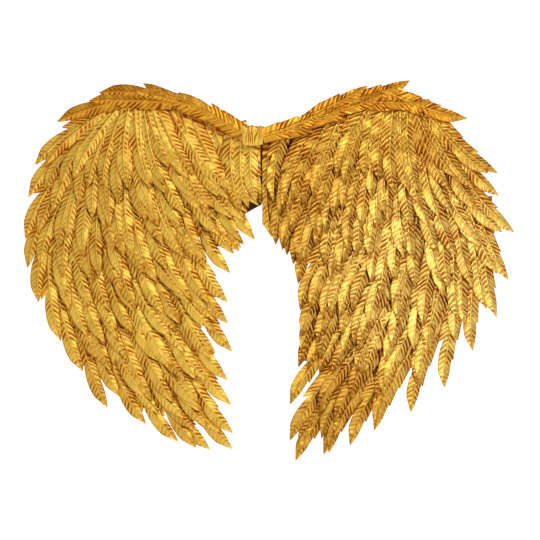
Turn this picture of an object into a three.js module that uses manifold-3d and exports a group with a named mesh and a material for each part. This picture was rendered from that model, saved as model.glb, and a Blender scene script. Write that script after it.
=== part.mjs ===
// Costume angel wings: rows of gold foil feathers on two dark boards, joined by a plate at the back.
// Millimetres, +Z up. The feathers face -Y and the wearer's back is on the +Y side.
// The origin is on the back face of the plate that joins the wings, on the seam between them.
import * as THREE from "three";
import { mergeVertices } from "three/addons/utils/BufferGeometryUtils.js";
import Module from "manifold-3d";

const wasm = await Module();
wasm.setup();

// Clearances
const gap = 0.3;
const seamHalfGap = 0.4;

// Stack of flat pieces, from the back face forward
const plateThickness = 4;
const plateWidth = 80;
const plateTop = 38;
const plateBottom = -48;
const plateCorner = 10;
const boardThickness = 3;

// Rows of feathers: each wing's rows are arcs about one centre beside and above the seam,
// and every row starts one pitch further in and lies one layer in front of the row below it
const fanCentreOut = 207;
const fanCentreUp = 201;
const lowestRowRadius = 476;
const rowPitch = 36;
const layerDepth = 4.8;

// One feather: a foil sheet with a ridge along it. It bows to its convex side, and its tip
// bends back to the concave side.
const sheet = 1.2;
const ridge = 1.8;
const rollLift = 2.2;
const rootHalfWidth = 9;
const convexHalfWidth = 13;
const concaveHalfWidth = 12.4;
const bladeConvex = 8.4;
const bladeConcave = 6.8;
const bladeToTip = 60;
const bladeMiddleToTip = 30;
const sickle = 6;
const bladeBow = 4.6;

// Tape that holds the roots of one row
const tapeWidth = 10;
const tapeThickness = 1.2;
const tapeGrip = 0.5;
const tapeEnd = 9;
const tapeToRoot = 6;
// Turn about the fan's centre, in radians, that one straight stretch of tape takes
const tapeSpan = 0.25;

// How far feathers stray from the even spread of their row, in degrees and millimetres
const leanStray = 7;
const lengthStray = 8;
const strayStep = 2.9;
const leanTurn = 7.3;
const lengthTurn = 5.1;

// Leading edge: feathers that point outward along the top of a wing, in front of all rows,
// each tip over the root of the next
const leadingEdgeTilt = 1.6;

// Tuft over the top of the seam
const tuftCrest = 4;
const tuftCrestShare = 0.55;

// Shoulder straps, each in a plane that leans outward toward its lower end
const strapWidth = 20;
const strapThickness = 2;
const strapTop = { out: 52, up: 56 };
const strapBottom = { out: 130, up: -112 };
const strapSteps = 18;

const boardBack = plateThickness + gap;
const featherBack = boardBack + boardThickness + gap;
const slope = layerDepth / rowPitch;
const featherHeight = rollLift / 2 + sheet + ridge;
const leadingEdgeLift = tapeGrip + featherHeight + gap - layerDepth;

function table(columns, rows) {
  return rows.map((row) => Object.fromEntries(columns.map((column, i) => [column, row[i]])));
}

// A feather's cross-sections: distance before the tip (0 is the root), half widths on the
// convex and the concave side, and how far the middle line is bent to the concave side
const featherSections = table(
  ["toTip", "convex", "concave", "bend"],
  [
    [Infinity, rootHalfWidth, rootHalfWidth, 0],
    [bladeToTip, convexHalfWidth, concaveHalfWidth, -bladeBow],
    [bladeMiddleToTip, bladeConvex, bladeConcave, 0],
  ],
);

// Rows from the lowest up. Angles of the innermost and outermost root about the fan's centre and
// feather leans are in degrees from straight down, positive toward the seam. Lengths are from
// the tape to the tip.
const rowColumns = [
  "feathers",
  "innerAngle",
  "outerAngle",
  "innerLean",
  "middleLean",
  "outerLean",
  "innerLength",
  "outerLength",
];
const leftRows = table(rowColumns, [
  [2, 10.4, 7, 34, 34, 34, 136, 132],
  [3, 10.5, 1, 33, 33, 32, 151, 154],
  [4, 12, -3.4, 31, 30, 26, 147, 159],
  [5, 13, -8, 29, 27, 16, 148, 165],
  [6, 16, -13.3, 28, 26, 14, 147, 156],
  [7, 17.5, -16, 27, 24, 5, 145, 149],
  [8, 19, -17.5, 27, 20, -9, 154, 133],
  [11, 38, -16, 23, 19, -24, 133, 127],
  [12, 46, -14.6, 26, 17, -32, 137, 129],
  [11, 41.5, -12, 27, 13, -43, 143, 117],
  [9, 30, 1.5, 25, 0, -55, 121, 129],
]);
const rightRows = table(rowColumns, [
  [2, 9.5, 6, 36, 36, 36, 149, 134],
  [3, 10, 2, 37, 35, 31, 162, 152],
  [4, 12, -2.8, 37, 35, 29, 149, 167],
  [5, 13, -7.1, 37, 31, 20, 132, 171],
  [6, 15, -12.9, 31, 27, 14, 142, 175],
  [7, 17.5, -17.6, 26, 24, 7, 157, 164],
  [8, 19.5, -21, 27, 20, -3, 161, 158],
  [11, 36, -19.5, 22, 18, -17, 137, 147],
  [12, 45, -14.3, 22, 14, -37, 141, 134],
  [11, 41, -14, 28, 12, -37, 145, 116],
  [9, 30, -7, 25, 0, -44, 122, 132],
]);

// Further feathers that fill each wing beside the seam
const seamColumns = ["row", "angle", "lean", "length"];
const leftSeamFeathers = table(seamColumns, [
  [7, 24, 26, 118],
  [7, 27.5, 26, 97],
  [7, 31, 27, 93],
  [7, 37, 18, 82],
  [7, 48, 4, 76],
  [8, 47, 8, 100],
  [8, 51, 14, 108],
]);
const rightSeamFeathers = table(seamColumns, [
  [7, 24.5, 25, 129],
  [7, 29.5, 22, 109],
  [7, 33, 20, 104],
  [7, 42, 8, 100],
  [7, 48, 2, 119],
  [8, 41.5, 18, 141],
  [8, 50, 12, 105],
]);

// Feathers of the leading edges, from the seam outward: where the root and the tip lie
const leadingColumns = ["rootOut", "rootUp", "tipOut", "tipUp"];
const leftLeadingFeathers = table(leadingColumns, [
  [12, 38, 110, 95],
  [30, 48, 125, 104],
  [50, 62, 152, 105],
  [68, 72, 171, 109],
  [108, 93, 220, 107],
  [122, 88, 234, 96],
  [174, 95, 278, 67],
]);
const rightLeadingFeathers = table(leadingColumns, [
  [-1, 40.5, 90, 73],
  [24, 44, 120, 82],
  [54, 65, 145, 105],
  [64, 64, 166, 94],
  [94, 86, 202, 112],
  [124, 90, 228, 82],
  [160, 106, 275, 60],
]);

// Board outline from the top of the seam round the outer side to the bottom of the seam
const boardOutline = table(
  ["out", "up"],
  [
    [26, 47],
    [60, 68],
    [98, 86],
    [150, 96],
    [204, 93],
    [240, 66],
    [258, 34],
    [284, -12],
    [294, -64],
    [296, -122],
    [282, -166],
    [262, -207],
    [220, -245],
    [169, -277],
    [112, -279],
    [116, -220],
    [114, -166],
    [108, -112],
    [94, -66],
    [64, -42],
  ],
);
const boardSeamTop = 41;
const boardSeamBottom = -50;
const boardLowCorner = { out: 24, up: -63 };

// Tuft outline
const tuftMiddle = { x: -10, z: 42 };
const tuftOutline = table(
  ["x", "z"],
  [
    [-26, 46],
    [-26, 38],
    [-22, 31],
    [-10, 29],
    [3, 30],
    [5, 41],
    [5, 52],
    [-1, 50],
    [-5, 56],
    [-8, 52],
    [-11, 58],
    [-16, 50],
    [-22, 54],
  ],
);

// Middle line of a strap: distance behind the board, and shares of the way from the upper sewn
// end to the lower one
const strapLine = table(
  ["back", "down"],
  [
    [0, 0],
    [1, 0.065],
    [7, 0.12],
    [34, 0.17],
    [78, 0.28],
    [102, 0.48],
    [78, 0.72],
    [34, 0.83],
    [7, 0.88],
    [1, 0.935],
    [0, 1],
  ],
);

function material(color, roughness, metalness) {
  return new THREE.MeshStandardMaterial({ color, roughness, metalness });
}

const goldFoil = material(0xd9a634, 0.32, 0.9);
const amberFoil = material(0xc58a22, 0.35, 0.9);
const darkFelt = material(0x2a1a12, 0.95, 0);
const darkBoard = material(0x1d1a18, 0.9, 0);
const elastic = material(0x151515, 0.85, 0);

function toSolid(geometry) {
  const bare = geometry.index ? geometry.clone() : geometry;
  bare.deleteAttribute("normal");
  bare.deleteAttribute("uv");
  const merged = mergeVertices(bare, 1e-4);
  const mesh = new wasm.Mesh({
    numProp: 3,
    vertProperties: new Float32Array(merged.attributes.position.array),
    triVerts: new Uint32Array(merged.index.array),
  });
  return new wasm.Manifold(mesh);
}

function toGeometry(solid) {
  const mesh = solid.getMesh();
  const geometry = new THREE.BufferGeometry();
  geometry.setAttribute("position", new THREE.BufferAttribute(mesh.vertProperties, 3));
  geometry.setIndex(new THREE.BufferAttribute(mesh.triVerts, 1));
  geometry.computeVertexNormals();
  return geometry;
}

// A closed surface through rings of points. A ring of one point ends it in a tip.
function loft(rings) {
  const positions = rings.flat().flatMap((point) => [point.x, point.y, point.z]);
  const faces = [];
  const sides = rings[0].length;
  for (let i = 0; i + 1 < rings.length; i += 1) {
    const a = i * sides;
    for (let j = 0; j < sides; j += 1) {
      const next = (j + 1) % sides;
      if (rings[i + 1].length === 1) {
        faces.push(a + j, a + next, a + sides);
      } else {
        faces.push(a + j, a + next, a + sides + next);
        faces.push(a + j, a + sides + next, a + sides + j);
      }
    }
  }
  const last = (rings.length - 1) * sides;
  for (let j = 1; j + 1 < sides; j += 1) {
    faces.push(0, j + 1, j);
    if (rings.at(-1).length > 1) {
      faces.push(last, last + j, last + j + 1);
    }
  }
  const geometry = new THREE.BufferGeometry();
  geometry.setAttribute("position", new THREE.Float32BufferAttribute(positions, 3));
  geometry.setIndex(faces);
  return geometry;
}

function rowRadius(row) {
  return lowestRowRadius - rowPitch * (row - 1);
}

// Through three values at the inner end, the middle and the outer end of a row
function between(inner, middle, outer, share) {
  const fromInner = 2 * (share - 0.5) * (share - 1);
  const fromMiddle = 4 * share * (1 - share);
  const fromOuter = 2 * share * (share - 0.5);
  return inner * fromInner + middle * fromMiddle + outer * fromOuter;
}

// A point of a wing in front of its board: side is -1 on the left wing and 1 on the right
function wingPoint(side, layer, x, z, rise) {
  const radius = Math.hypot(x - side * fanCentreOut, z - fanCentreUp);
  const height = Math.max(slope * (radius - rowRadius(layer)), -tapeGrip) + rise;
  return new THREE.Vector3(x, -featherBack - height, z);
}

function leanDirection(side, lean) {
  const angle = THREE.MathUtils.degToRad(lean);
  return new THREE.Vector2(-side * Math.sin(angle), -Math.cos(angle));
}

// The left-hand side of a feather, seen from the front and looking toward its tip, is concave
function feather(side, layer, root, lean, length, lift, tilt) {
  const along = leanDirection(side, lean);
  const concaveSide = new THREE.Vector2(-along.y, along.x);
  const rings = featherSections.map((section) => {
    const reach = Math.max(0, length - section.toTip);
    const base = lift + (tilt * reach) / length;
    const middle = root.clone().addScaledVector(along, reach);
    middle.addScaledVector(concaveSide, section.bend);
    const point = (sideways, rise) =>
      wingPoint(
        side,
        layer,
        middle.x + concaveSide.x * sideways,
        middle.y + concaveSide.y * sideways,
        base + rise,
      );
    return [
      point(section.concave, 0),
      point(0, featherHeight),
      point(-section.convex, rollLift + sheet),
      point(-section.convex, rollLift),
    ];
  });
  const tip = root.clone().addScaledVector(along, length);
  tip.addScaledVector(concaveSide, sickle);
  rings.push([wingPoint(side, layer, tip.x, tip.y, lift + tilt + sheet)]);
  return toSolid(loft(rings));
}

function tapePoint(side, row, angle) {
  const turn = THREE.MathUtils.degToRad(angle);
  const radius = rowRadius(row) + tapeWidth / 3;
  return new THREE.Vector2(
    side * (fanCentreOut - radius * Math.sin(turn)),
    fanCentreUp - radius * Math.cos(turn),
  );
}

function tape(side, row, innerAngle, outerAngle) {
  const radius = rowRadius(row);
  const overhang = tapeEnd / radius;
  const inner = THREE.MathUtils.degToRad(innerAngle) + overhang;
  const outer = THREE.MathUtils.degToRad(outerAngle) - overhang;
  const spans = Math.ceil((inner - outer) / tapeSpan);
  const rings = Array.from({ length: spans + 1 }, (_, i) => {
    const turn = THREE.MathUtils.lerp(inner, outer, i / spans);
    const point = (reach, rise) =>
      wingPoint(
        side,
        row,
        side * (fanCentreOut - (radius + reach) * Math.sin(turn)),
        fanCentreUp - (radius + reach) * Math.cos(turn),
        rise,
      );
    const ring = [
      point(0, 0),
      point(0, tapeThickness),
      point(tapeWidth, tapeThickness),
      point(tapeWidth, 0),
    ];
    return side < 0 ? ring.reverse() : ring;
  });
  return toSolid(loft(rings));
}

function trimAtSeam(side, solid) {
  const size = 2 * (fanCentreOut + lowestRowRadius);
  const block = new THREE.BoxGeometry(size, size, size);
  block.translate(side * (seamHalfGap + size / 2), 0, 0);
  return solid.intersect(toSolid(block));
}

function rowFeathers(rows, seamFeathers, row) {
  const shape = rows[row - 1];
  const regular = Array.from({ length: shape.feathers }, (_, i) => {
    const share = i / (shape.feathers - 1);
    // None at the ends of the row, where the tips make the wing's outline
    const stray = (turn) => 4 * share * (1 - share) * Math.sin(turn * row + strayStep * i);
    return {
      angle: THREE.MathUtils.lerp(shape.innerAngle, shape.outerAngle, share),
      lean:
        between(shape.innerLean, shape.middleLean, shape.outerLean, share) +
        leanStray * stray(leanTurn),
      length:
        THREE.MathUtils.lerp(shape.innerLength, shape.outerLength, share) +
        lengthStray * stray(lengthTurn),
    };
  });
  const extra = seamFeathers.filter((one) => one.row === row);
  return [...regular, ...extra].sort((a, b) => b.angle - a.angle);
}

function featherRow(side, rows, seamFeathers, row) {
  const feathers = rowFeathers(rows, seamFeathers, row);
  let solid = tape(side, row, feathers[0].angle, feathers.at(-1).angle);
  for (const one of feathers) {
    const root = tapePoint(side, row, one.angle);
    root.addScaledVector(leanDirection(side, one.lean), -tapeToRoot);
    solid = solid.add(feather(side, row, root, one.lean, one.length + tapeToRoot, tapeGrip, 0));
  }
  return toGeometry(trimAtSeam(side, solid));
}

function leadingEdge(side, feathers) {
  const layer = leftRows.length + 1;
  const solids = feathers.map((one) => {
    const root = new THREE.Vector2(side * one.rootOut, one.rootUp);
    const outward = one.tipOut - one.rootOut;
    const upward = one.tipUp - one.rootUp;
    const lean = THREE.MathUtils.radToDeg(Math.atan2(-outward, -upward));
    const length = Math.hypot(outward, upward);
    return feather(side, layer, root, lean, length, leadingEdgeLift, leadingEdgeTilt);
  });
  const solid = solids.reduce((all, one) => all.add(one));
  return toGeometry(trimAtSeam(side, solid));
}

function board(side) {
  const seam = side * seamHalfGap;
  const outer = boardOutline.map((point) => new THREE.Vector2(side * point.out, point.up));
  const outline = new THREE.Shape();
  outline.moveTo(seam, boardSeamTop);
  outline.splineThru(outer);
  outline.lineTo(side * boardLowCorner.out, boardLowCorner.up);
  outline.lineTo(seam, boardSeamBottom);
  outline.closePath();
  const geometry = new THREE.ExtrudeGeometry(outline, {
    depth: boardThickness,
    bevelEnabled: false,
    curveSegments: 2,
  });
  return geometry.rotateX(Math.PI / 2).translate(0, -boardBack, 0);
}

function joiningPlate() {
  const right = plateWidth / 2;
  const outline = new THREE.Shape();
  const quarters = [
    [right - plateCorner, plateTop - plateCorner],
    [plateCorner - right, plateTop - plateCorner],
    [plateCorner - right, plateBottom + plateCorner],
    [right - plateCorner, plateBottom + plateCorner],
  ];
  quarters.forEach(([x, z], i) => {
    outline.absarc(x, z, plateCorner, (i * Math.PI) / 2, ((i + 1) * Math.PI) / 2);
  });
  const geometry = new THREE.ExtrudeGeometry(outline, {
    depth: plateThickness,
    bevelEnabled: false,
    curveSegments: 4,
  });
  return geometry.rotateX(Math.PI / 2);
}

// The tuft sits on the ridges of the leading edges, which are highest at the seam
function tuft() {
  const middle = new THREE.Vector2(tuftMiddle.x, tuftMiddle.z);
  const seat = leadingEdgeLift + featherHeight + gap;
  const back = wingPoint(1, leftRows.length + 1, 0, middle.y, seat).y;
  const ring = (share, front) =>
    tuftOutline.map((point) => new THREE.Vector3(
      THREE.MathUtils.lerp(middle.x, point.x, share),
      back - front,
      THREE.MathUtils.lerp(middle.y, point.z, share),
    ));
  return loft([ring(1, 0), ring(1, sheet), ring(tuftCrestShare, tuftCrest)]);
}

function strap(side) {
  const seat = gap + strapThickness / 2 - boardBack;
  const span = Math.hypot(strapBottom.out - strapTop.out, strapTop.up - strapBottom.up);
  const spread = Math.atan2(strapBottom.out - strapTop.out, strapTop.up - strapBottom.up);
  const line = new THREE.SplineCurve(
    strapLine.map((point) => new THREE.Vector2(seat + point.back, -span * point.down)),
  );
  const edge = (offset) =>
    Array.from({ length: strapSteps + 1 }, (_, i) => {
      const at = line.getPoint(i / strapSteps);
      const along = line.getTangent(i / strapSteps);
      return new THREE.Vector2(at.x - along.y * offset, at.y + along.x * offset);
    });
  const outline = new THREE.Shape([
    ...edge(strapThickness / 2),
    ...edge(-strapThickness / 2).reverse(),
  ]);
  const geometry = new THREE.ExtrudeGeometry(outline, {
    depth: strapWidth,
    bevelEnabled: false,
  });
  // The outline is drawn with the depth behind the board along x and the height along y
  geometry.rotateX(Math.PI / 2).rotateZ(Math.PI / 2);
  geometry.translate(-strapWidth / 2, 0, 0).rotateY(-side * spread);
  return geometry.translate(side * strapTop.out, 0, strapTop.up);
}

function piece(name, geometry, look) {
  const mesh = new THREE.Mesh(geometry, look);
  mesh.name = name;
  return mesh;
}

function wing(name, side, rows, seamFeathers, leadingFeathers) {
  const group = new THREE.Group();
  group.add(piece(`wing_board_${name}`, board(side), darkFelt));
  rows.forEach((_, i) => {
    const number = String(i + 1).padStart(2, "0");
    const row = featherRow(side, rows, seamFeathers, i + 1);
    group.add(piece(`feather_row_${name}_${number}`, row, goldFoil));
  });
  group.add(piece(`leading_edge_${name}`, leadingEdge(side, leadingFeathers), amberFoil));
  group.add(piece(`shoulder_strap_${name}`, strap(side), elastic));
  return group;
}

const wings = new THREE.Group();
wings.add(piece("joining_plate", joiningPlate(), darkBoard));
wings.add(wing("left", -1, leftRows, leftSeamFeathers, leftLeadingFeathers));
wings.add(wing("right", 1, rightRows, rightSeamFeathers, rightLeadingFeathers));
wings.add(piece("centre_tuft", tuft(), goldFoil));

export default wings;
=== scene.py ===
"""Looks of a pair of costume angel wings: embossed foil feathers on dark boards, straps behind.

Lengths in the tables are millimetres, as on the real object. Objects are in metres.
"""

import math

import bpy
import numpy as np
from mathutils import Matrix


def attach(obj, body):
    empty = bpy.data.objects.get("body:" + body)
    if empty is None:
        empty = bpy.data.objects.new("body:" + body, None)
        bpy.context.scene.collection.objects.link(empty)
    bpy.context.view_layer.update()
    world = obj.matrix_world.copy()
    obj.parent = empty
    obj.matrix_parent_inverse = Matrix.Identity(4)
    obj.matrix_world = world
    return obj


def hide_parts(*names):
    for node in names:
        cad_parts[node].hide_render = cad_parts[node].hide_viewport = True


MM = 0.001

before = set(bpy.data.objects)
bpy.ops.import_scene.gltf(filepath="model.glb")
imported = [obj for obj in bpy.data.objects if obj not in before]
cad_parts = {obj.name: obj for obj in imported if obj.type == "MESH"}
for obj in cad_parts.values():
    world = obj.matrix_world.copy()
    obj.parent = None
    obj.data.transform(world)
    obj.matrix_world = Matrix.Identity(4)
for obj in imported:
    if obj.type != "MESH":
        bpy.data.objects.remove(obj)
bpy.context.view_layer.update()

# Lay of the feathers, as in the solids
PLATE_THICKNESS = 4.0
BOARD_THICKNESS = 3.0
GAP = 0.3
BOARD_BACK = PLATE_THICKNESS + GAP
FEATHER_BACK = BOARD_BACK + BOARD_THICKNESS + GAP
SEAM_HALF_GAP = 0.4
FAN_CENTRE_OUT = 207.0
FAN_CENTRE_UP = 201.0
LOWEST_ROW_RADIUS = 476.0
ROW_PITCH = 36.0
LAYER_DEPTH = 4.8
SLOPE = LAYER_DEPTH / ROW_PITCH
TAPE_WIDTH = 10.0
TAPE_GRIP = 0.5
TAPE_TO_ROOT = 6.0
ROW_COUNT = 11
LEADING_EDGE_LIFT = 0.1
LEADING_EDGE_TILT = 1.6

# How far feathers stray from the even spread of their row
LEAN_STRAY = 7.0
LENGTH_STRAY = 8.0
STRAY_STEP = 2.9
LEAN_TURN = 7.3
LENGTH_TURN = 5.1

# One more feather lies over each two of the solid's, shorter and laid less evenly
BETWEEN_STEP = 0.5
BETWEEN_LEAN = 7.0
BETWEEN_SHORT = 12.0
BETWEEN_LENGTH = 9.0
OVERLAP_LIFT = 1.0
# The feathers that hang down beside the seam belong to this row
OVER_ROW = 10

# Seeds of the random draws: each wing has its own stretch of numbers, and each group a hundred
ROW_SEEDS = 1000
WING_SEEDS = 10000
GROUP_SEEDS = 100
LEADING_GROUP = 50
OVER_GROUP = 60
TUFT_SEED = 77

# Feather outline: half widths on its two sides, and how far before the tip its teeth lie
# The concave side's, then the convex side's
ROOT_HALVES = (10.5, 10.5)
ROOT_WIDENING = 30.0
CONVEX_HALF_WIDTH = 13.2
CONCAVE_HALF_WIDTH = 12.6
CONVEX_TOOTH = 57.0
CONCAVE_TOOTH_LOW = 37.6
CONCAVE_TOOTH_HIGH = 65.5
BLADE_CONVEX = 10.4
BLADE_NECK = 1.2
BLADE_CURVE = 0.9
MIDDLE_CONCAVE = 10.4
BLADE_CONCAVE = 7.6
POINT_CURVE = 0.8
SICKLE = 6.0
SICKLE_LENGTH = 70.0
BOW = 3.6
BOW_STRAY = 1.5

# Barbs run forward from the midrib, and less so near the tip and the root
BARB_SLANT = 1.05
BARB_CURVE = 1.25
SLANT_TIP_FADE = 34.0
SLANT_ROOT_FADE = 25.0

# Feather relief, where a pair is the least and the most that a feather may have
FOIL = 1.3
THINNEST = 0.2
RELIEF_FADE = 20.0
RIDGE = 1.8
RIDGE_SHARES = (0.7, 1.15)
BEAD = 0.5
BEAD_WIDTH = 1.0
ROLL_LIFT = 1.2
ROLL_SHARES = (0.2, 1.8)
CURLS = (0.2, 3.4)
CURL_LENGTH = 48.0
DENT_WAVES = {"count": 3, "longest": 42.0, "shortest": 12.0}
CRINKLE = 0.22
CRINKLE_WAVES = {"count": 3, "longest": 12.0, "shortest": 5.0}
WAVE_TURN = 0.9

# Grooves between the barbs
BARB_PITCH = 7.0
BARB_HEIGHT = 0.85
BARB_JITTER = 1.1
JITTER_PITCHES = (5.0, 11.0)
JITTER_PHASES = (0, 6)
GROOVE_CURVE = 1.2
GROOVE_START = 2.2
GROOVE_SHARES = (0.7, 1.0)
WEAR_MEAN = 0.75
WEAR_SWING = 0.6
WEAR_MOST = 1.15
WEAR_WAVES = {"count": 2, "longest": 50.0, "shortest": 16.0}
SMOOTH_TIP = 46.0
SMOOTH_TIP_SHARES = (0.7, 1.1)
SMOOTH_TIP_FADE = 18.0
RIBBED_TIP = 20.0
SMOOTH_ROOT = 0.2
SMOOTH_ROOT_FROM = 62.0
SMOOTH_ROOT_FADE = 28.0

# Painted shade: how dark the covered roots, the edges and the sides of the midrib are painted, and the
# plain value of the feathers' backs
COVERED_FROM = 105.0
COVERED_FADE = 25.0
COVERED_SHADE = 0.25
EDGE_SHADE = 0.5
RACHIS_SHADE = 0.28
UNDERSIDE = 0.1

# Lines and columns that a feather is made of
FIRST_LINE = 1.2
LAST_LINE = 0.15
FINE_STEPS = 5
FINE_LENGTH = 122.0
COARSE_STEP = 12.0
BACK_COLUMNS = 5
MIDRIB_SIDE = 0.1
ACROSS = np.array(
    [-1.0, -0.82, -0.55, -0.28, -MIDRIB_SIDE, 0.0, MIDRIB_SIDE, 0.28, 0.55, 0.82, 1.0]
)
SHARP_FOIL = 62

ROW_COLUMNS = (
    "feathers",
    "inner_angle",
    "outer_angle",
    "inner_lean",
    "middle_lean",
    "outer_lean",
    "inner_length",
    "outer_length",
)
SEAM_COLUMNS = ("row", "angle", "lean", "length")
OVER_COLUMNS = ("root_out", "root_up", "lean", "length")
LEADING_COLUMNS = ("root_out", "root_up", "tip_out", "tip_up")


def table(columns, rows):
    return [dict(zip(columns, row)) for row in rows]


# Relief and dents scale a wing's grooves and crumples, and plain_blades is how smooth its blades
# may be. Angles and leans are degrees. smooth_root is for the leading edge's first feather.
WINGS = {
    "left": {
        "side": -1,
        "relief": 1.05,
        "plain_blades": (0.15, 0.85),
        "smooth_root": 0.3,
        "leading_root_halves": (10.5, 4.5),
        "dents": 0.4,
        "rows": table(
            ROW_COLUMNS,
            [
                (2, 10.4, 7, 34, 34, 34, 136, 132),
                (3, 10.5, 1, 33, 33, 32, 151, 154),
                (4, 12, -3.4, 31, 30, 26, 147, 159),
                (5, 13, -8, 29, 27, 16, 148, 165),
                (6, 16, -13.3, 28, 26, 14, 147, 156),
                (7, 17.5, -16, 27, 24, 5, 145, 149),
                (8, 19, -17.5, 27, 20, -9, 154, 133),
                (11, 38, -16, 23, 19, -24, 133, 127),
                (12, 46, -14.6, 26, 17, -32, 137, 129),
                (11, 41.5, -12, 27, 13, -43, 143, 117),
                (9, 30, 1.5, 25, 0, -55, 121, 129),
            ],
        ),
        "seam": table(
            SEAM_COLUMNS,
            [
                (7, 24, 26, 118),
                (7, 27.5, 26, 97),
                (7, 31, 27, 93),
                (7, 37, 18, 82),
                (7, 48, 4, 76),
                (8, 47, 8, 100),
                (8, 51, 14, 108),
            ],
        ),
        "over": table(
            OVER_COLUMNS,
            [
                (41, 50, 4, 108),
                (27, 45, 2, 101),
                (13, 41, 0, 89),
            ],
        ),
        "leading": table(
            LEADING_COLUMNS,
            [
                (12, 38, 110, 95),
                (30, 48, 125, 104),
                (50, 62, 152, 105),
                (68, 72, 171, 109),
                (108, 93, 220, 107),
                (122, 88, 234, 96),
                (174, 95, 278, 67),
            ],
        ),
    },
    "right": {
        "side": 1,
        "relief": 1.4,
        "plain_blades": (0.0, 0.75),
        "smooth_root": 0.95,
        "leading_root_halves": (4.5, 10.5),
        "dents": 1.0,
        "rows": table(
            ROW_COLUMNS,
            [
                (2, 9.5, 6, 36, 36, 36, 149, 134),
                (3, 10, 2, 37, 35, 31, 162, 152),
                (4, 12, -2.8, 37, 35, 29, 149, 167),
                (5, 13, -7.1, 37, 31, 20, 132, 171),
                (6, 15, -12.9, 31, 27, 14, 142, 175),
                (7, 17.5, -17.6, 26, 24, 7, 157, 164),
                (8, 19.5, -21, 27, 20, -3, 161, 158),
                (11, 36, -19.5, 22, 18, -17, 137, 147),
                (12, 45, -14.3, 22, 14, -37, 141, 134),
                (11, 41, -14, 28, 12, -37, 145, 116),
                (9, 30, -7, 25, 0, -44, 122, 132),
            ],
        ),
        "seam": table(
            SEAM_COLUMNS,
            [
                (7, 24.5, 25, 129),
                (7, 29.5, 22, 109),
                (7, 33, 20, 104),
                (7, 42, 8, 100),
                (7, 48, 2, 119),
                (8, 41.5, 18, 141),
                (8, 50, 12, 105),
            ],
        ),
        "over": [],
        "leading": table(
            LEADING_COLUMNS,
            [
                (-1, 40.5, 90, 73),
                (24, 44, 120, 82),
                (54, 65, 145, 105),
                (64, 64, 166, 94),
                (94, 86, 202, 112),
                (124, 90, 228, 82),
                (160, 106, 275, 60),
            ],
        ),
    },
}


def row_radius(row):
    return LOWEST_ROW_RADIUS - ROW_PITCH * (row - 1)


def between(inner, middle, outer, share):
    """Through three values at the inner end, the middle and the outer end of a row."""
    from_inner = 2 * (share - 0.5) * (share - 1)
    from_middle = 4 * share * (1 - share)
    from_outer = 2 * share * (share - 0.5)
    return inner * from_inner + middle * from_middle + outer * from_outer


def smooth(share):
    share = np.clip(share, 0.0, 1.0)
    return share * share * (3 - 2 * share)


def wing_points(side, layer, x, z, rise):
    """Points in front of a wing's board, where a row rises with the distance from its fan's centre."""
    radius = np.hypot(x - side * FAN_CENTRE_OUT, z - FAN_CENTRE_UP)
    height = np.maximum(SLOPE * (radius - row_radius(layer)), -TAPE_GRIP) + rise
    x = side * np.maximum(side * x, SEAM_HALF_GAP)
    return np.stack([x, -FEATHER_BACK - height, z], axis=-1)


def half_widths(to_tip, length, root_halves):
    """Half widths on the concave and the convex side at a distance before the tip."""
    root_share = smooth((length - to_tip) / ROOT_WIDENING)
    concave, convex = root_halves
    convex = convex + (CONVEX_HALF_WIDTH - convex) * root_share
    concave = concave + (CONCAVE_HALF_WIDTH - concave) * root_share
    notch = CONVEX_TOOTH + BARB_SLANT * CONVEX_HALF_WIDTH
    blade = np.clip(to_tip / notch, 0, 1)
    bulge = (4 * blade * (BLADE_NECK - blade) / BLADE_NECK**2) ** BLADE_CURVE
    convex = np.where(to_tip < notch, BLADE_CONVEX * bulge, convex)
    notch = CONCAVE_TOOTH_HIGH + BARB_SLANT * CONCAVE_HALF_WIDTH
    concave = np.where(to_tip < notch, MIDDLE_CONCAVE, concave)
    notch = CONCAVE_TOOTH_LOW + BARB_SLANT * MIDDLE_CONCAVE
    point = np.clip(1 - to_tip / notch, 0, 1)
    concave = np.where(to_tip < notch, BLADE_CONCAVE * (1 - point**2) ** POINT_CURVE, concave)
    return concave, convex


def reaches(length, rng):
    """Distances from the root of the lines that a feather is made of, and how deep each line is.

    The lines are fine where they show, and every fifth of those is the bottom of a groove.
    """
    fine = BARB_PITCH / FINE_STEPS
    to_tip = np.arange(FIRST_LINE, min(length, FINE_LENGTH), fine)
    rise = np.abs(np.sin(math.pi * np.arange(to_tip.size) / FINE_STEPS)) ** GROOVE_CURVE
    pitch = rng.uniform(*JITTER_PITCHES)
    drift = BARB_JITTER * np.sin(to_tip / pitch + rng.uniform(*JITTER_PHASES))
    coarse = np.arange(0.0, length - to_tip[-1] - fine, COARSE_STEP)
    reach = np.concatenate([coarse, (length - to_tip - drift)[::-1], [length - LAST_LINE]])
    return reach, np.concatenate([coarse * 0, (1.0 - rise)[::-1], [0.0]])


class Feathers:
    """Gathers the feathers of one piece into one mesh with its painted shade and tone values."""

    def __init__(self):
        self.points = []
        self.faces = []
        self.painted_shade = []
        self.tone = []
        self.count = 0

    def add(self, points, faces, painted_shade, tone):
        self.points.append(points.reshape(-1, 3))
        self.faces += [[corner + self.count for corner in face] for face in faces]
        self.painted_shade.append(painted_shade.reshape(-1))
        self.tone.append(np.full(painted_shade.size, tone))
        self.count += painted_shade.size

    def make(self, name):
        points = np.concatenate(self.points) * MM
        mesh = bpy.data.meshes.new(name)
        mesh.from_pydata(points.tolist(), [], self.faces)
        for key, values in (("painted_shade", self.painted_shade), ("tone", self.tone)):
            layer = mesh.attributes.new(key, "FLOAT", "POINT")
            layer.data.foreach_set("value", np.concatenate(values).astype(np.float32))
        mesh.shade_smooth()
        mesh.set_sharp_from_angle(angle=math.radians(SHARP_FOIL))
        mesh.update()
        obj = bpy.data.objects.new(name, mesh)
        bpy.context.scene.collection.objects.link(obj)
        return obj


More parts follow.
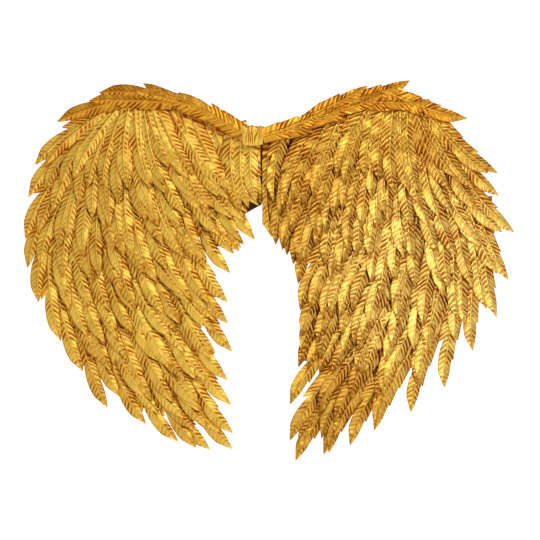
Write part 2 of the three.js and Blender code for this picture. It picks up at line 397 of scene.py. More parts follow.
def shell_faces(lines, columns, step):
    """Faces of a closed thin shell. Its front is a grid of lines by columns, and its back takes
    every so many of these columns."""
    front = np.arange(lines * columns).reshape(lines, columns)
    kept = (columns - 1) // step + 1
    back = front.size + np.arange(lines * kept).reshape(lines, kept)

    def quads(a, b, c, d):
        return np.stack([a.ravel(), b.ravel(), c.ravel(), d.ravel()], axis=1).tolist()

    faces = quads(front[:-1, :-1], front[:-1, 1:], front[1:, 1:], front[1:, :-1])
    faces += quads(back[:-1, :-1], back[1:, :-1], back[1:, 1:], back[:-1, 1:])
    faces += quads(front[:-1, 0], front[1:, 0], back[1:, 0], back[:-1, 0])
    faces += quads(front[1:, -1], front[:-1, -1], back[:-1, -1], back[1:, -1])
    faces.append([*back[0], *front[0, ::-1]])
    faces.append([*front[-1], *back[-1, ::-1]])
    return faces


def waves(rng, along, across, count, longest, shortest):
    """Uneven dents of hand-bent foil: waves of random lengths and directions, between -1 and 1."""
    total = np.zeros(np.broadcast(along, across).shape)
    for _ in range(count):
        pitch = rng.uniform(shortest, longest)
        turn = rng.uniform(-WAVE_TURN, WAVE_TURN)
        phase = rng.uniform(0, 2 * math.pi)
        place = along * math.cos(turn) + across * math.sin(turn)
        total += np.sin(2 * math.pi * place / pitch + phase)
    return total / count


def feather_seed(wing, group, number):
    return (wing["side"] + 2) * WING_SEEDS + group * GROUP_SEEDS + number


def add_feather(
    gather,
    wing,
    layer,
    root,
    lean,
    length,
    seed,
    lift=TAPE_GRIP,
    tilt=0.0,
    smooth_root=0.0,
    root_halves=ROOT_HALVES,
    bow=BOW,
):
    """One feather of a wing, from its root along its lean, as a closed thin shell."""
    side = wing["side"]
    rng = np.random.default_rng(seed)
    angle = math.radians(lean)
    along = np.array([-side * math.sin(angle), -math.cos(angle)])
    across = np.array([-along[1], along[0]])

    # Outline: barbs lean forward, and the midrib bows and ends in a sickle
    reach, groove_line = reaches(length, rng)
    to_tip = length - reach
    concave, convex = half_widths(to_tip, length, root_halves)
    columns = ACROSS[None, :]
    from_midrib = np.abs(columns)
    width = np.where(columns < 0, concave[:, None], convex[:, None])
    sideways = -columns * width
    slant_left = smooth(to_tip / SLANT_TIP_FADE)[:, None]
    forward = from_midrib**BARB_CURVE * width * BARB_SLANT * slant_left
    forward *= smooth(reach / SLANT_ROOT_FADE)[:, None]
    ahead = reach[:, None] + forward
    left = np.maximum(length - ahead, 0.0)
    bend = SICKLE * np.clip(1 - left / SICKLE_LENGTH, 0, 1) ** 2
    bow += rng.uniform(-BOW_STRAY, BOW_STRAY)
    middle_line = bend - bow * np.sin(math.pi * np.clip(ahead / length, 0, 1))
    x = root[0] + along[0] * ahead + across[0] * (sideways + middle_line)
    z = root[1] + along[1] * ahead + across[1] * (sideways + middle_line)

    # Large relief: roof, midrib bead and a rolled side
    shape = smooth(reach / RELIEF_FADE)[:, None]
    roof = RIDGE * (1 - from_midrib) * rng.uniform(*RIDGE_SHARES)
    bead = BEAD * np.exp(-((columns * width / BEAD_WIDTH) ** 2)) * shape
    roll = ROLL_LIFT * rng.uniform(*ROLL_SHARES) * (columns + 1) / 2

    # Grooves: worn in places, and smooth at the convex blade and at some roots
    smooth_tip = SMOOTH_TIP * rng.uniform(*SMOOTH_TIP_SHARES)
    fade_concave = smooth(left / RIBBED_TIP)
    plain = rng.uniform(*wing["plain_blades"])
    fade_convex = 1 - plain * (1 - smooth((left - smooth_tip) / SMOOTH_TIP_FADE))
    fade = np.where(columns < 0, fade_concave, fade_convex)
    wear = WEAR_MEAN + WEAR_SWING * waves(rng, ahead, sideways, **WEAR_WAVES)
    flat = smooth_root * smooth((left - SMOOTH_ROOT_FROM) / SMOOTH_ROOT_FADE)
    strength = rng.uniform(*GROOVE_SHARES) * fade * np.clip(wear, 0, WEAR_MOST) * (1 - flat)
    groove = groove_line[:, None] * strength * smooth(from_midrib * width / GROOVE_START)

    # The tip curls forward, and the whole is dented and crinkled
    curl = rng.uniform(*CURLS) * np.clip(1 - left / CURL_LENGTH, 0, 1) ** 2
    dents = wing["dents"] * waves(rng, ahead, sideways, **DENT_WAVES) * shape
    dents += CRINKLE * waves(rng, ahead, sideways, **CRINKLE_WAVES) * shape
    base = lift + tilt * ahead / length + FOIL
    height = base + roof + bead + roll + curl + dents

    # The back has three columns, and the front stays in front of the planes between them
    kept = slice(None, None, BACK_COLUMNS)
    under = (height - FOIL)[:, kept]
    outer = np.where(columns < 0, under[:, :1], under[:, 2:])
    thinnest = under[:, 1:2] * (1 - from_midrib) + outer * from_midrib + THINNEST
    height = np.maximum(height - BARB_HEIGHT * wing["relief"] * groove, thinnest)
    front = wing_points(side, layer, x, z, height)
    back = wing_points(side, layer, x[:, kept], z[:, kept], under)

    # Painted shade: darker in the grooves, along the edges, beside the midrib and on the roots that
    # the next rows cover; the backs take the plain underside value
    covered_shade = COVERED_SHADE * smooth((to_tip - COVERED_FROM) / COVERED_FADE)[:, None]
    midrib_shade = RACHIS_SHADE * (from_midrib == MIDRIB_SIDE)
    painted_shade = np.maximum(groove, EDGE_SHADE * (from_midrib == 1) + midrib_shade) + covered_shade
    points = np.concatenate([front.reshape(-1, 3), back.reshape(-1, 3)])
    shade = np.concatenate([painted_shade.ravel(), np.full(back[..., 0].size, UNDERSIDE)])
    faces = shell_faces(reach.size, ACROSS.size, BACK_COLUMNS)
    gather.add(points, faces, shade, rng.uniform(0, 1))


def row_feathers(wing, row):
    """The solid's feathers of a row, with one more over each two of them."""
    shape = wing["rows"][row - 1]
    rng = np.random.default_rng((wing["side"] + 2) * ROW_SEEDS + row)
    last = shape["feathers"] - 1
    feathers = []
    for place in np.arange(0, last + BETWEEN_STEP / 2, BETWEEN_STEP):
        share = place / last
        # None at the ends of the row, where the tips make the wing's outline
        middle = 4 * share * (1 - share)
        lean_stray = LEAN_STRAY * middle * math.sin(LEAN_TURN * row + STRAY_STEP * place)
        length_stray = LENGTH_STRAY * middle * math.sin(LENGTH_TURN * row + STRAY_STEP * place)
        lean = between(shape["inner_lean"], shape["middle_lean"], shape["outer_lean"], share)
        length = np.interp(share, (0, 1), (shape["inner_length"], shape["outer_length"]))
        lift = 0.0
        if place % 1:
            lean_stray += rng.uniform(-BETWEEN_LEAN, BETWEEN_LEAN)
            length_stray += rng.uniform(-BETWEEN_LENGTH, BETWEEN_LENGTH) - BETWEEN_SHORT
            lift = OVERLAP_LIFT
        feathers.append(
            {
                "angle": np.interp(share, (0, 1), (shape["inner_angle"], shape["outer_angle"])),
                "lean": lean + lean_stray,
                "length": length + length_stray,
                "lift": lift,
            }
        )
    feathers += [{**one, "lift": 0.0} for one in wing["seam"] if one["row"] == row]
    return sorted(feathers, key=lambda one: -one["angle"])


def feather_row(name, wing, row):
    side = wing["side"]
    gather = Feathers()
    radius = row_radius(row) + TAPE_WIDTH / 3
    for i, one in enumerate(row_feathers(wing, row)):
        turn = math.radians(one["angle"])
        lean = math.radians(one["lean"])
        root = (
            side * (FAN_CENTRE_OUT - radius * math.sin(turn) + TAPE_TO_ROOT * math.sin(lean)),
            FAN_CENTRE_UP - radius * math.cos(turn) + TAPE_TO_ROOT * math.cos(lean),
        )
        length = one["length"] + TAPE_TO_ROOT
        seed = feather_seed(wing, row, i)
        lift = TAPE_GRIP + one["lift"]
        add_feather(gather, wing, row, root, one["lean"], length, seed, lift=lift)
    for i, one in enumerate(wing["over"] if row == OVER_ROW else []):
        root = (side * one["root_out"], one["root_up"])
        seed = feather_seed(wing, OVER_GROUP, i)
        add_feather(gather, wing, row, root, one["lean"], one["length"], seed)
    return gather.make(name)


def leading_edge(name, wing):
    side = wing["side"]
    gather = Feathers()
    for i, one in enumerate(wing["leading"]):
        outward = one["tip_out"] - one["root_out"]
        upward = one["tip_up"] - one["root_up"]
        first = i == 0
        add_feather(
            gather,
            wing,
            ROW_COUNT + 1,
            root=(side * one["root_out"], one["root_up"]),
            lean=math.degrees(math.atan2(-outward, -upward)),
            length=math.hypot(outward, upward),
            seed=feather_seed(wing, LEADING_GROUP, i),
            lift=LEADING_EDGE_LIFT,
            tilt=LEADING_EDGE_TILT,
            smooth_root=wing["smooth_root"] if first else SMOOTH_ROOT,
            root_halves=ROOT_HALVES if first else wing["leading_root_halves"],
            bow=0.0,
        )
    return gather.make(name)


# Tuft over the seam: outline in millimetres, how its pleats, torn points and puff vary, and the
# painted shade in the folds between its pleats
TUFT_LEFT = -29.0
TUFT_RIGHT = 5.0
TUFT_LOW = 28.0
TUFT_HIGH = 52.5
TUFT_POINT = 9.0
TUFT_THICKNESS = 1.2
TUFT_PUFF = 2.4
TUFT_PLEATS = 8.0
TUFT_SEAT = LEADING_EDGE_LIFT + 4.4
TUFT_COLUMNS = 73
TUFT_LINES = 41
TUFT_BACK_STEP = 4
TUFT_TONE = 0.3
TUFT_UNDERSIDE = 0.5
PLEAT_WANDER = 0.05
WANDER_ACROSS = 1.7
WANDER_UP = 0.5
WANDER_START = 1.0
WANDER_FOOT = 0.6
PLEAT_PUFF = 0.55
PLEAT_EDGE = 0.15
PLEAT_TONE = 0.12
TORN_STEP = 0.62
TORN_START = 0.35
TORN_MIDDLE = 0.4
TORN_SWING = 0.35
TORN_TURN = 17.0
LOW_DROP = 2.5
LOW_WAVE = 0.6
LOW_TURN = 31
NARROW_LOW = 0.8
NARROW_WAIST = 0.08
DOME_SIDE = 0.02
DOME_FOOT = 0.12
DOME_SPAN = 0.76
CRUMPLE = 0.7
CRUMPLE_WAVES = {"count": 4, "longest": 14.0, "shortest": 4.0}

# Boards, plate and straps behind the feathers
BOARD_OUTLINE = table(
    ("out", "up"),
    [
        (26, 47),
        (60, 68),
        (98, 86),
        (150, 96),
        (204, 93),
        (240, 66),
        (258, 34),
        (284, -12),
        (294, -64),
        (296, -122),
        (282, -166),
        (262, -207),
        (220, -245),
        (169, -277),
        (112, -279),
        (116, -220),
        (114, -166),
        (108, -112),
        (94, -66),
        (64, -42),
    ],
)
BOARD_SEAM_TOP = 41.0
BOARD_SEAM_BOTTOM = -50.0
BOARD_LOW_CORNER = (24.0, -63.0)
BOARD_SPAN = 12
FELT_ROUNDING = 1.1
PLATE_WIDTH = 80.0
PLATE_TOP = 38.0
PLATE_BOTTOM = -48.0
PLATE_CORNER = 10.0
PLATE_ROUNDING = 0.9
STRAP_WIDTH = 20.0
STRAP_THICKNESS = 2.0
STRAP_TOP = (52.0, 56.0)
STRAP_BOTTOM = (130.0, -112.0)
STRAP_LINE = table(
    ("back", "down"),
    [
        (0, 0),
        (1, 0.065),
        (7, 0.12),
        (34, 0.17),
        (78, 0.28),
        (102, 0.48),
        (78, 0.72),
        (34, 0.83),
        (7, 0.88),
        (1, 0.935),
        (0, 1),
    ],
)
STRAP_SPAN = 14
STRAP_COLUMNS = 17
STRAP_RIB = 0.16
WEFT_PITCH = 2.4
WEFT_SHARE = 0.5
SELVEDGE = 0.5
SELVEDGE_THINNER = 0.7

# Stitches: how far along one and how thick each ring of its thread is
STITCH_PITCH = 3.2
STITCH_LENGTH = 2.3
STITCH_RADIUS = 0.4
STITCH_START = 0.4
STITCH_RISE = STRAP_THICKNESS / 2 - 0.1
STITCH_MARGIN = 3.0
STITCH_RINGS = ((0.0, 0.25), (0.35, 1.0), (0.65, 1.0), (1.0, 0.25))
STITCH_SIDES = 6
SEWN_SHARE = 0.085

# Angles in degrees: edges sharper than this stay sharp, and the steps of a rounded rim
SHARP_RIM = 40.0
SHARP_WEAVE = 60.0
RIM_TURNS = (0.0, 30.0, 60.0, 90.0)
# How many roundings in from the rim the flat face begins
FACE_INSET = 3
CORNER_STEPS = 9


def through(points, span):
    """Points of a smooth line through the given ones, each stretch in so many steps."""
    points = np.array(points, dtype=float)
    ends = np.concatenate([points[:1], points, points[-1:]])
    line = []
    for i in range(len(points) - 1):
        a, b, c, d = ends[i : i + 4]
        for t in np.arange(span) / span:
            start, end = 0.5 * (c - a), 0.5 * (d - b)
            line.append(
                (2 * t**3 - 3 * t**2 + 1) * b
                + (t**3 - 2 * t**2 + t) * start
                + (3 * t**2 - 2 * t**3) * c
                + (t**3 - t**2) * end
            )
    return np.array([*line, points[-1]])


def new_object(name, points, faces, sharp=SHARP_RIM):
    mesh = bpy.data.meshes.new(name)
    mesh.from_pydata((np.asarray(points) * MM).tolist(), [], faces)
    mesh.shade_smooth()
    mesh.set_sharp_from_angle(angle=math.radians(sharp))
    mesh.update()
    obj = bpy.data.objects.new(name, mesh)
    bpy.context.scene.collection.objects.link(obj)
    return obj


def tube_faces(rings, sides, first=0):
    """Faces of a closed tube of rings, whose points are numbered from the first one."""
    faces = []
    for i in range(rings - 1):
        start = first + i * sides
        for j in range(sides):
            k = (j + 1) % sides
            faces.append([start + j, start + k, start + sides + k, start + sides + j])
    last = first + (rings - 1) * sides
    faces.append(list(range(first, first + sides))[::-1])
    faces.append(list(range(last, last + sides)))
    return faces


def inset(outline, distance):
    """The outline moved inward along its own normals. It runs clockwise seen from the front."""
    along = np.roll(outline, -1, axis=0) - np.roll(outline, 1, axis=0)
    along /= np.linalg.norm(along, axis=1)[:, None]
    return outline + distance * np.stack([along[:, 1], -along[:, 0]], axis=1)


def slab(name, outline, front, back, rounding):
    """A flat piece with rounded rims between two depths, outline in x and z."""
    x, z = outline.T
    if np.sum(x * np.roll(z, -1) - np.roll(x, -1) * z) > 0:
        outline = outline[::-1]
    turns = np.radians(RIM_TURNS)
    rim = [(rounding * (1 - math.sin(t)), rounding * (1 - math.cos(t))) for t in turns]
    profile = [(FACE_INSET * rounding, front)]
    profile += [(distance, front + depth) for distance, depth in rim]
    profile += [(distance, back - depth) for distance, depth in reversed(rim)]
    profile += [(FACE_INSET * rounding, back)]
    rings = [np.insert(inset(outline, distance), 1, depth, axis=1) for distance, depth in profile]
    return new_object(name, np.concatenate(rings), tube_faces(len(rings), len(outline)))


def board(name, side):
    outer = through([(side * one["out"], one["up"]) for one in BOARD_OUTLINE], BOARD_SPAN)
    seam = side * SEAM_HALF_GAP
    corners = [
        (side * BOARD_LOW_CORNER[0], BOARD_LOW_CORNER[1]),
        (seam, BOARD_SEAM_BOTTOM),
        (seam, BOARD_SEAM_TOP),
    ]
    outline = np.concatenate([outer, corners])
    return slab(name, outline, -BOARD_BACK - BOARD_THICKNESS, -BOARD_BACK, FELT_ROUNDING)


def joining_plate(name):
    right = PLATE_WIDTH / 2 - PLATE_CORNER
    top = PLATE_TOP - PLATE_CORNER
    bottom = PLATE_BOTTOM + PLATE_CORNER
    centres = [(right, top), (-right, top), (-right, bottom), (right, bottom)]
    outline = []
    for quarter, (x, z) in enumerate(centres):
        for turn in np.radians(quarter * 90 + np.linspace(0, 90, CORNER_STEPS)):
            outline.append((x + PLATE_CORNER * math.cos(turn), z + PLATE_CORNER * math.sin(turn)))
    return slab(name, np.array(outline), -PLATE_THICKNESS, 0.0, PLATE_ROUNDING)


class Strap:
    """Where the points of a strap lie: share of the way down, distance across, distance outward."""

    def __init__(self, side):
        self.side = side
        self.seat = GAP + STRAP_THICKNESS / 2 - BOARD_BACK
        run = STRAP_BOTTOM[0] - STRAP_TOP[0]
        drop = STRAP_TOP[1] - STRAP_BOTTOM[1]
        self.turn = math.atan2(run, drop)
        span = math.hypot(run, drop)
        line = [(self.seat + one["back"], -span * one["down"]) for one in STRAP_LINE]
        self.line = through(line, STRAP_SPAN)
        step = np.linalg.norm(np.diff(self.line, axis=0), axis=1)
        self.length = step.sum()
        self.reach = np.concatenate([[0], np.cumsum(step)])
        self.normals = np.gradient(self.line, axis=0)
        self.normals /= np.linalg.norm(self.normals, axis=1)[:, None]

    def point(self, reach, across, outward):
        back = np.interp(reach, self.reach, self.line[:, 0])
        down = np.interp(reach, self.reach, self.line[:, 1])
        along = [np.interp(reach, self.reach, self.normals[:, i]) for i in (0, 1)]
        back = back - along[1] * outward
        down = down + along[0] * outward
        x = across * math.cos(self.turn) - self.side * down * math.sin(self.turn)
        z = self.side * across * math.sin(self.turn) + down * math.cos(self.turn)
        return np.stack(
            np.broadcast_arrays(x + self.side * STRAP_TOP[0], back, z + STRAP_TOP[1]), axis=-1
        )


def strap(name, side):
    """Woven elastic: ribs along it, finer wefts across it, and rounded selvedges."""
    form = Strap(side)
    reach = np.arange(0.0, form.length + WEFT_PITCH / 4, WEFT_PITCH / 2)
    reach[-1] = form.length
    across = np.linspace(-STRAP_WIDTH / 2, STRAP_WIDTH / 2, STRAP_COLUMNS)
    edge = np.abs(across) > STRAP_WIDTH / 2 - SELVEDGE
    half = STRAP_THICKNESS / 2 - STRAP_RIB - SELVEDGE_THINNER * edge
    rib = STRAP_RIB * (np.arange(STRAP_COLUMNS) % 2)
    weft = WEFT_SHARE * STRAP_RIB * (np.arange(reach.size) % 2)
    thick = half[None, :] + rib[None, :] + weft[:, None]
    front = form.point(reach[:, None], across[None, :], thick)
    back = form.point(reach[:, None], across[None, :], -thick)
    ring = np.concatenate([front, back[:, ::-1]], axis=1)
    lines, sides = ring.shape[:2]
    faces = tube_faces(lines, sides)
    return new_object(name, ring.reshape(-1, 3), faces, SHARP_WEAVE)


def stitches(name, side):
    """Thread of the sewn ends: at each end a box with its two diagonals."""
    form = Strap(side)
    sewn = SEWN_SHARE * form.length
    edge = STRAP_WIDTH / 2 - STITCH_MARGIN
    points = []
    faces = []
    for start in (STITCH_MARGIN, form.length - sewn):
        end = start + sewn - STITCH_MARGIN
        corners = [(start, -edge), (start, edge), (end, edge), (end, -edge)]
        seams = [(corners[i], corners[(i + 1) % 4]) for i in range(4)]
        seams += [(corners[0], corners[2]), (corners[1], corners[3])]
        for a, b in np.array(seams):
            span = np.linalg.norm(b - a)
            along = (b - a) / span
            sideways = np.array([-along[1], along[0]])
            for place in np.arange(STITCH_START, span - STITCH_LENGTH, STITCH_PITCH):
                faces += tube_faces(len(STITCH_RINGS), STITCH_SIDES, len(points))
                for reach, size in STITCH_RINGS:
                    middle = a + along * (place + reach * STITCH_LENGTH)
                    for turn in np.radians(np.arange(0, 360, 360 / STITCH_SIDES)):
                        aside = middle + sideways * STITCH_RADIUS * size * math.cos(turn)
                        rise = STITCH_RISE + STITCH_RADIUS * size * math.sin(turn)
                        points.append(form.point(aside[0], aside[1], rise))
    return new_object(name, np.array(points), faces, SHARP_WEAVE)


def tuft(name):
    """Foil gathered over the seam: uneven pleats that run up it and end in torn points."""
    rng = np.random.default_rng(TUFT_SEED)
    across = np.linspace(0, 1, TUFT_COLUMNS)[None, :]
    up = np.linspace(0, 1, TUFT_LINES)[:, None]
    wander_turn = 2 * math.pi * (across * WANDER_ACROSS + up * WANDER_UP) + WANDER_START
    wander = PLEAT_WANDER * np.sin(wander_turn)
    phase = TUFT_PLEATS * (across + wander * (WANDER_FOOT + up))
    torn = (phase * TORN_STEP + TORN_START) % 1
    swing = 1 - TORN_SWING + TORN_SWING * np.sin(TORN_TURN * across)
    top = TUFT_HIGH + TUFT_POINT * (torn - TORN_MIDDLE) * swing
    low = TUFT_LOW + LOW_DROP * (2 * across - 1) ** 2 + LOW_WAVE * np.sin(LOW_TURN * across)
    narrow = NARROW_LOW + (1 - NARROW_LOW) * up - NARROW_WAIST * np.sin(math.pi * up)
    x = 0.5 * (TUFT_LEFT + TUFT_RIGHT) + (across - 0.5) * (TUFT_RIGHT - TUFT_LEFT) * narrow
    z = low + up * (top - low)
    dome = np.sin(math.pi * np.clip(across, DOME_SIDE, 1 - DOME_SIDE)) ** 0.5
    dome = dome * np.clip(np.sin(math.pi * (DOME_FOOT + DOME_SPAN * up)), 0, 1)
    pleat = np.abs(np.sin(math.pi * phase))
    crumple = waves(rng, z * np.ones_like(x), x, **CRUMPLE_WAVES)
    rise = TUFT_PUFF * dome * (1 - PLEAT_PUFF + PLEAT_PUFF * pleat) + CRUMPLE * crumple * dome
    rise = np.maximum(rise, 0.0) + TUFT_THICKNESS
    layer = ROW_COUNT + 1
    deepest = wing_points(1, layer, 0.0, 0.5 * (TUFT_LOW + TUFT_HIGH), TUFT_SEAT)[1]
    x, z = np.broadcast_arrays(x, z)
    front = np.stack([x, deepest - rise, z], axis=-1)
    back = np.stack([x, np.full_like(x, deepest), z], axis=-1)[:, ::TUFT_BACK_STEP]
    # Painted shade in the folds between the pleats, over the dome, on a base tone
    painted_shade = np.clip(1.0 - pleat - PLEAT_EDGE, 0, 1) ** 2 * dome + PLEAT_TONE
    gather = Feathers()
    gather.add(
        np.concatenate([front.reshape(-1, 3), back.reshape(-1, 3)]),
        shell_faces(TUFT_LINES, TUFT_COLUMNS, TUFT_BACK_STEP),
        np.concatenate([painted_shade.ravel(), np.full(back[..., 0].size, TUFT_UNDERSIDE)]),
        TUFT_TONE,
    )
    return gather.make(name)


# Foil: sizes of its blotches and grain, and how far painted shade in the creases, blotches and tones
# darken it
FOIL_TINT = (1.0, 0.5, 0.16, 1)
BLOTCH_SCALE = 38.0
BLOTCH_DETAIL = 4.0
BLOTCH_SHARE = 0.3
TONE_SHARE = 0.16
LIGHT_UP_TO = 0.18
DARK_FROM = 0.85
SMOOTHEST_SHARE = 0.6
GRAIN_SCALE = 1500.0
GRAIN_BUMP = 0.1
GRAIN_DEPTH = 0.0002

# Painted highlight: where the right wing's foil is painted paler, in metres
HIGHLIGHT_CENTRE = (0.23, 0.0, -0.15)
HIGHLIGHT_REACH = (0.2, 1.0, 0.18)
HIGHLIGHT_FULL = 0.6

# Cloth
NAP_DETAIL = 6.0
NAP_DARK = 0.6
NAP_LIGHT = 1.5
NAP_BUMP = 0.5
NAP_DEPTH = 0.0005

# Numbers of the colour mixer's sockets, which share their names with others
MIX_SHARE = 0
MIX_FIRST = 6
MIX_SECOND = 7
MIX_RESULT = 2


def new_material(name):
    material = bpy.data.materials.new(name)
    material.use_nodes = True
    return material, material.node_tree.nodes, material.node_tree.links


def new_node(nodes, kind, **values):
    """A node with its input sockets set. A socket's name has underscores for its spaces."""
    node = nodes.new(kind)
    for name, value in values.items():
        node.inputs[name.replace("_", " ")].default_value = value
    return node


def weighted_sum(nodes, links, socket, share, other):
    """One value times a share, plus another value."""
    total = nodes.new("ShaderNodeMath")
    total.operation = "MULTIPLY_ADD"
    total.inputs[1].default_value = share
    links.new(socket, total.inputs[0])
    links.new(other, total.inputs[2])
    return total.outputs[0]


def attribute(nodes, name):
    node = nodes.new("ShaderNodeAttribute")
    node.attribute_name = name
    return node.outputs["Fac"]


def color_ramp(nodes, links, socket, stops):
    ramp = nodes.new("ShaderNodeValToRGB")
    for element, (position, color) in zip(ramp.color_ramp.elements, stops):
        element.position = position
        element.color = (*color, 1)
    links.new(socket, ramp.inputs["Fac"])
    return ramp.outputs["Color"]


def bump(nodes, links, height, strength, distance):
    node = new_node(nodes, "ShaderNodeBump", Strength=strength, Distance=distance)
    links.new(height, node.inputs["Height"])
    links.new(node.outputs["Normal"], nodes["Principled BSDF"].inputs["Normal"])


def painted_highlight(nodes, links, place, color, highlight_tint):
    """Painted highlight: multiplies the colour by the paler one around a place, and less so further
    off.
    """
    patch = new_node(nodes, "ShaderNodeMapping", Location=HIGHLIGHT_CENTRE, Scale=HIGHLIGHT_REACH)
    patch.vector_type = "TEXTURE"
    links.new(place, patch.inputs["Vector"])
    nearness = nodes.new("ShaderNodeTexGradient")
    nearness.gradient_type = "SPHERICAL"
    links.new(patch.outputs["Vector"], nearness.inputs["Vector"])
    highlight_share = new_node(nodes, "ShaderNodeMapRange", From_Max=HIGHLIGHT_FULL)
    links.new(nearness.outputs["Fac"], highlight_share.inputs["Value"])
    tint = nodes.new("ShaderNodeMix")
    tint.data_type = "RGBA"
    tint.blend_type = "MULTIPLY"
    tint.inputs[MIX_SECOND].default_value = (*highlight_tint, 1)
    links.new(highlight_share.outputs["Result"], tint.inputs[MIX_SHARE])
    links.new(color, tint.inputs[MIX_FIRST])
    return tint.outputs[MIX_RESULT]


def foil_material(name, light, dark, roughest, highlight_tint=None):
    """Metallic foil on embossed leatherette: painted shade darkens it in the creases, an optional
    painted highlight makes it paler around one place, and it has a fine grain.
    """
    material, nodes, links = new_material(name)
    shader = nodes["Principled BSDF"]
    shader.inputs["Metallic"].default_value = 1.0
    shader.inputs["Specular Tint"].default_value = FOIL_TINT
    place = nodes.new("ShaderNodeTexCoord").outputs["Object"]
    blotch = new_node(nodes, "ShaderNodeTexNoise", Scale=BLOTCH_SCALE, Detail=BLOTCH_DETAIL)
    links.new(place, blotch.inputs["Vector"])
    # Painted shade from the attribute, with random blotches and tones, moves the colour toward the
    # dark one
    blotched = weighted_sum(
        nodes, links, blotch.outputs["Fac"], BLOTCH_SHARE, attribute(nodes, "painted_shade")
    )
    toned = weighted_sum(nodes, links, attribute(nodes, "tone"), TONE_SHARE, blotched)
    color = color_ramp(nodes, links, toned, [(LIGHT_UP_TO, light), (DARK_FROM, dark)])
    # A painted highlight on the foils that are given one
    if highlight_tint:
        color = painted_highlight(nodes, links, place, color, highlight_tint)
    links.new(color, shader.inputs["Base Color"])
    rough = new_node(
        nodes, "ShaderNodeMapRange", To_Min=SMOOTHEST_SHARE * roughest, To_Max=roughest
    )
    links.new(blotch.outputs["Fac"], rough.inputs["Value"])
    links.new(rough.outputs["Result"], shader.inputs["Roughness"])
    grain = new_node(nodes, "ShaderNodeTexVoronoi", Scale=GRAIN_SCALE)
    links.new(place, grain.inputs["Vector"])
    bump(nodes, links, grain.outputs["Distance"], GRAIN_BUMP, GRAIN_DEPTH)
    return material


def cloth_material(name, color, scale, rough):
    """Plain dark cloth or felt with a fine uneven nap."""
    material, nodes, links = new_material(name)
    shader = nodes["Principled BSDF"]
    shader.inputs["Roughness"].default_value = rough
    place = nodes.new("ShaderNodeTexCoord").outputs["Object"]
    nap = new_node(nodes, "ShaderNodeTexNoise", Scale=scale, Detail=NAP_DETAIL)
    links.new(place, nap.inputs["Vector"])
    stops = [(0.0, [c * NAP_DARK for c in color]), (1.0, [c * NAP_LIGHT for c in color])]
    shades = color_ramp(nodes, links, nap.outputs["Fac"], stops)
    links.new(shades, shader.inputs["Base Color"])
    bump(nodes, links, nap.outputs["Fac"], NAP_BUMP, NAP_DEPTH)
    return material


GOLD = foil_material(
    "gold_foil", light=(0.94, 0.66, 0.11), dark=(0.4, 0.08, 0.001), roughest=0.56
)
# The right wing's foil: the same gold foil painted darker as shade, with a painted highlight patch
SHADED_GOLD = foil_material(
    "shaded_gold_foil",
    light=(0.76, 0.455, 0.068),
    dark=(0.26, 0.042, 0.001),
    roughest=0.44,
    highlight_tint=(1.22, 1.45, 2.25),
)
AMBER = foil_material(
    "amber_foil", light=(0.74, 0.37, 0.036), dark=(0.26, 0.045, 0.001), roughest=0.42
)
FELT = cloth_material("dark_felt", color=(0.07, 0.016, 0.009), scale=700.0, rough=0.95)
PLATE = cloth_material("plate", color=(0.02, 0.018, 0.016), scale=900.0, rough=0.6)
ELASTIC = cloth_material("elastic", color=(0.015, 0.015, 0.015), scale=1200.0, rough=0.8)
THREAD = cloth_material("thread", color=(0.05, 0.045, 0.04), scale=2500.0, rough=0.6)


def dress(obj, node, material):
    obj.data.materials.append(material)
    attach(obj, "root")
    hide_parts(node)


WINGS["left"]["foil"] = GOLD
WINGS["right"]["foil"] = SHADED_GOLD
for name, wing in WINGS.items():
    side = wing["side"]
    for row in range(1, ROW_COUNT + 1):
        node = f"feather_row_{name}_{row:02d}"
        dress(feather_row(f"foil_{node}", wing, row), node, wing["foil"])
    node = f"leading_edge_{name}"
    dress(leading_edge(f"foil_{node}", wing), node, AMBER)
    dress(board(f"felt_board_{name}", side), f"wing_board_{name}", FELT)
    dress(strap(f"woven_strap_{name}", side), f"shoulder_strap_{name}", ELASTIC)
    thread = stitches(f"strap_stitches_{name}", side)
    thread.data.materials.append(THREAD)
    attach(thread, "root")
dress(joining_plate("moulded_plate"), "joining_plate", PLATE)
dress(tuft("gathered_tuft"), "centre_tuft", GOLD)


# Camera, floor and light, in metres
VIEW_CENTRE = (0.0109, -0.1387)
VIEW_WIDTH = 0.734
CAMERA_DISTANCE = 3.0
SENSOR = 0.036
FLOOR_HEIGHT = -0.9
FLOOR_REACH = 12.0
FLOOR_COLOR = (0.97, 0.97, 0.97, 1)
FLOOR_ROUGHNESS = 0.9
FLOOR_GLOW = 0.4
WHITE = (1, 1, 1, 1)
SPOT_CONE = 20
SPOT_BLEND = 0.9

# The world's strength along a direction: its range there, and the strengths at its ends
WORLD_DEPTH = {"From_Min": -0.6, "From_Max": 0.6, "To_Min": 0.62, "To_Max": 1.25}
WORLD_ACROSS = {"From_Min": -0.7, "From_Max": 0.3, "To_Min": 0.82, "To_Max": 1.0}
# Dimmer directions are warmer
WORLD_WARMTH = [(0.45, (1.0, 0.87, 0.66)), (0.85, (1.0, 1.0, 1.0))]


def make_camera():
    data = bpy.data.cameras.new("camera")
    data.sensor_width = SENSOR / MM
    data.lens = SENSOR / MM * CAMERA_DISTANCE / VIEW_WIDTH
    camera = bpy.data.objects.new("camera", data)
    camera.location = (VIEW_CENTRE[0], -CAMERA_DISTANCE, VIEW_CENTRE[1])
    camera.rotation_euler = (math.pi / 2, 0, 0)
    bpy.context.scene.collection.objects.link(camera)
    bpy.context.scene.camera = camera


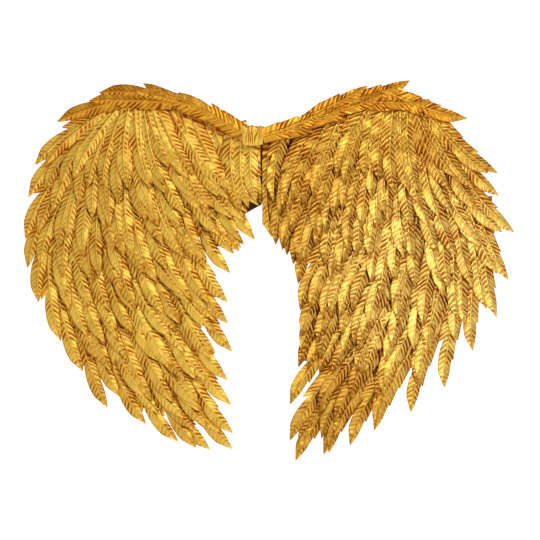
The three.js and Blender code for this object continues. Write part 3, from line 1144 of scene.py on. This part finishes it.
def make_floor():
    mesh = bpy.data.meshes.new("floor")
    turns = [(-1, -1), (1, -1), (1, 1), (-1, 1)]
    corners = [(x * FLOOR_REACH, y * FLOOR_REACH, FLOOR_HEIGHT) for x, y in turns]
    mesh.from_pydata(corners, [], [(0, 1, 2, 3)])
    floor = bpy.data.objects.new("floor", mesh)
    bpy.context.scene.collection.objects.link(floor)
    material, nodes, _ = new_material("floor")
    shader = nodes["Principled BSDF"]
    shader.inputs["Base Color"].default_value = FLOOR_COLOR
    shader.inputs["Roughness"].default_value = FLOOR_ROUGHNESS
    shader.inputs["Emission Color"].default_value = WHITE
    shader.inputs["Emission Strength"].default_value = FLOOR_GLOW
    mesh.materials.append(material)


def add_light(data, place, aim):
    light = bpy.data.objects.new(data.name, data)
    light.location = place
    toward = [a - b for a, b in zip(aim, place)]
    flat = math.hypot(toward[0], toward[1])
    light.rotation_euler = (
        math.atan2(flat, -toward[2]),
        0,
        math.atan2(toward[1], toward[0]) - math.pi / 2,
    )
    bpy.context.scene.collection.objects.link(light)


def area_light(name, place, aim, size, power, color):
    data = bpy.data.lights.new(name, "AREA")
    data.shape = "RECTANGLE"
    data.size = size[0]
    data.size_y = size[1]
    data.energy = power
    data.color = color
    add_light(data, place, aim)


def spot_light(name, place, aim, radius, power):
    """A lamp whose soft-edged cone takes in one wing only."""
    data = bpy.data.lights.new(name, "SPOT")
    data.shadow_soft_size = radius
    data.energy = power
    data.spot_size = math.radians(SPOT_CONE)
    data.spot_blend = SPOT_BLEND
    add_light(data, place, aim)


def make_world():
    """White behind the object, paler in front of it and dimmest on its left."""
    world = bpy.data.worlds.new("world")
    world.use_nodes = True
    nodes, links = world.node_tree.nodes, world.node_tree.links
    background = nodes["Background"]
    direction = nodes.new("ShaderNodeTexCoord")
    split = nodes.new("ShaderNodeSeparateXYZ")
    links.new(direction.outputs["Generated"], split.inputs["Vector"])
    depth = new_node(nodes, "ShaderNodeMapRange", **WORLD_DEPTH)
    links.new(split.outputs["Y"], depth.inputs["Value"])
    across = new_node(nodes, "ShaderNodeMapRange", **WORLD_ACROSS)
    links.new(split.outputs["X"], across.inputs["Value"])
    strength = nodes.new("ShaderNodeMath")
    strength.operation = "MULTIPLY"
    links.new(depth.outputs["Result"], strength.inputs[0])
    links.new(across.outputs["Result"], strength.inputs[1])
    links.new(strength.outputs[0], background.inputs["Strength"])
    warmth = color_ramp(nodes, links, strength.outputs[0], WORLD_WARMTH)
    links.new(warmth, background.inputs["Color"])
    bpy.context.scene.world = world


make_camera()
make_floor()
make_world()
area_light(
    "key",
    place=(0.35, -1.15, 0.62),
    aim=(0.0, 0.0, -0.15),
    size=(0.5, 0.4),
    power=3.8,
    color=(0.96, 0.98, 1.0),
)
spot_light(
    "right wing", place=(-0.25, -1.4, 0.25), aim=(0.22, 0.0, -0.17), radius=0.12, power=11.0
)
bpy.context.scene.view_settings.view_transform = "Standard"
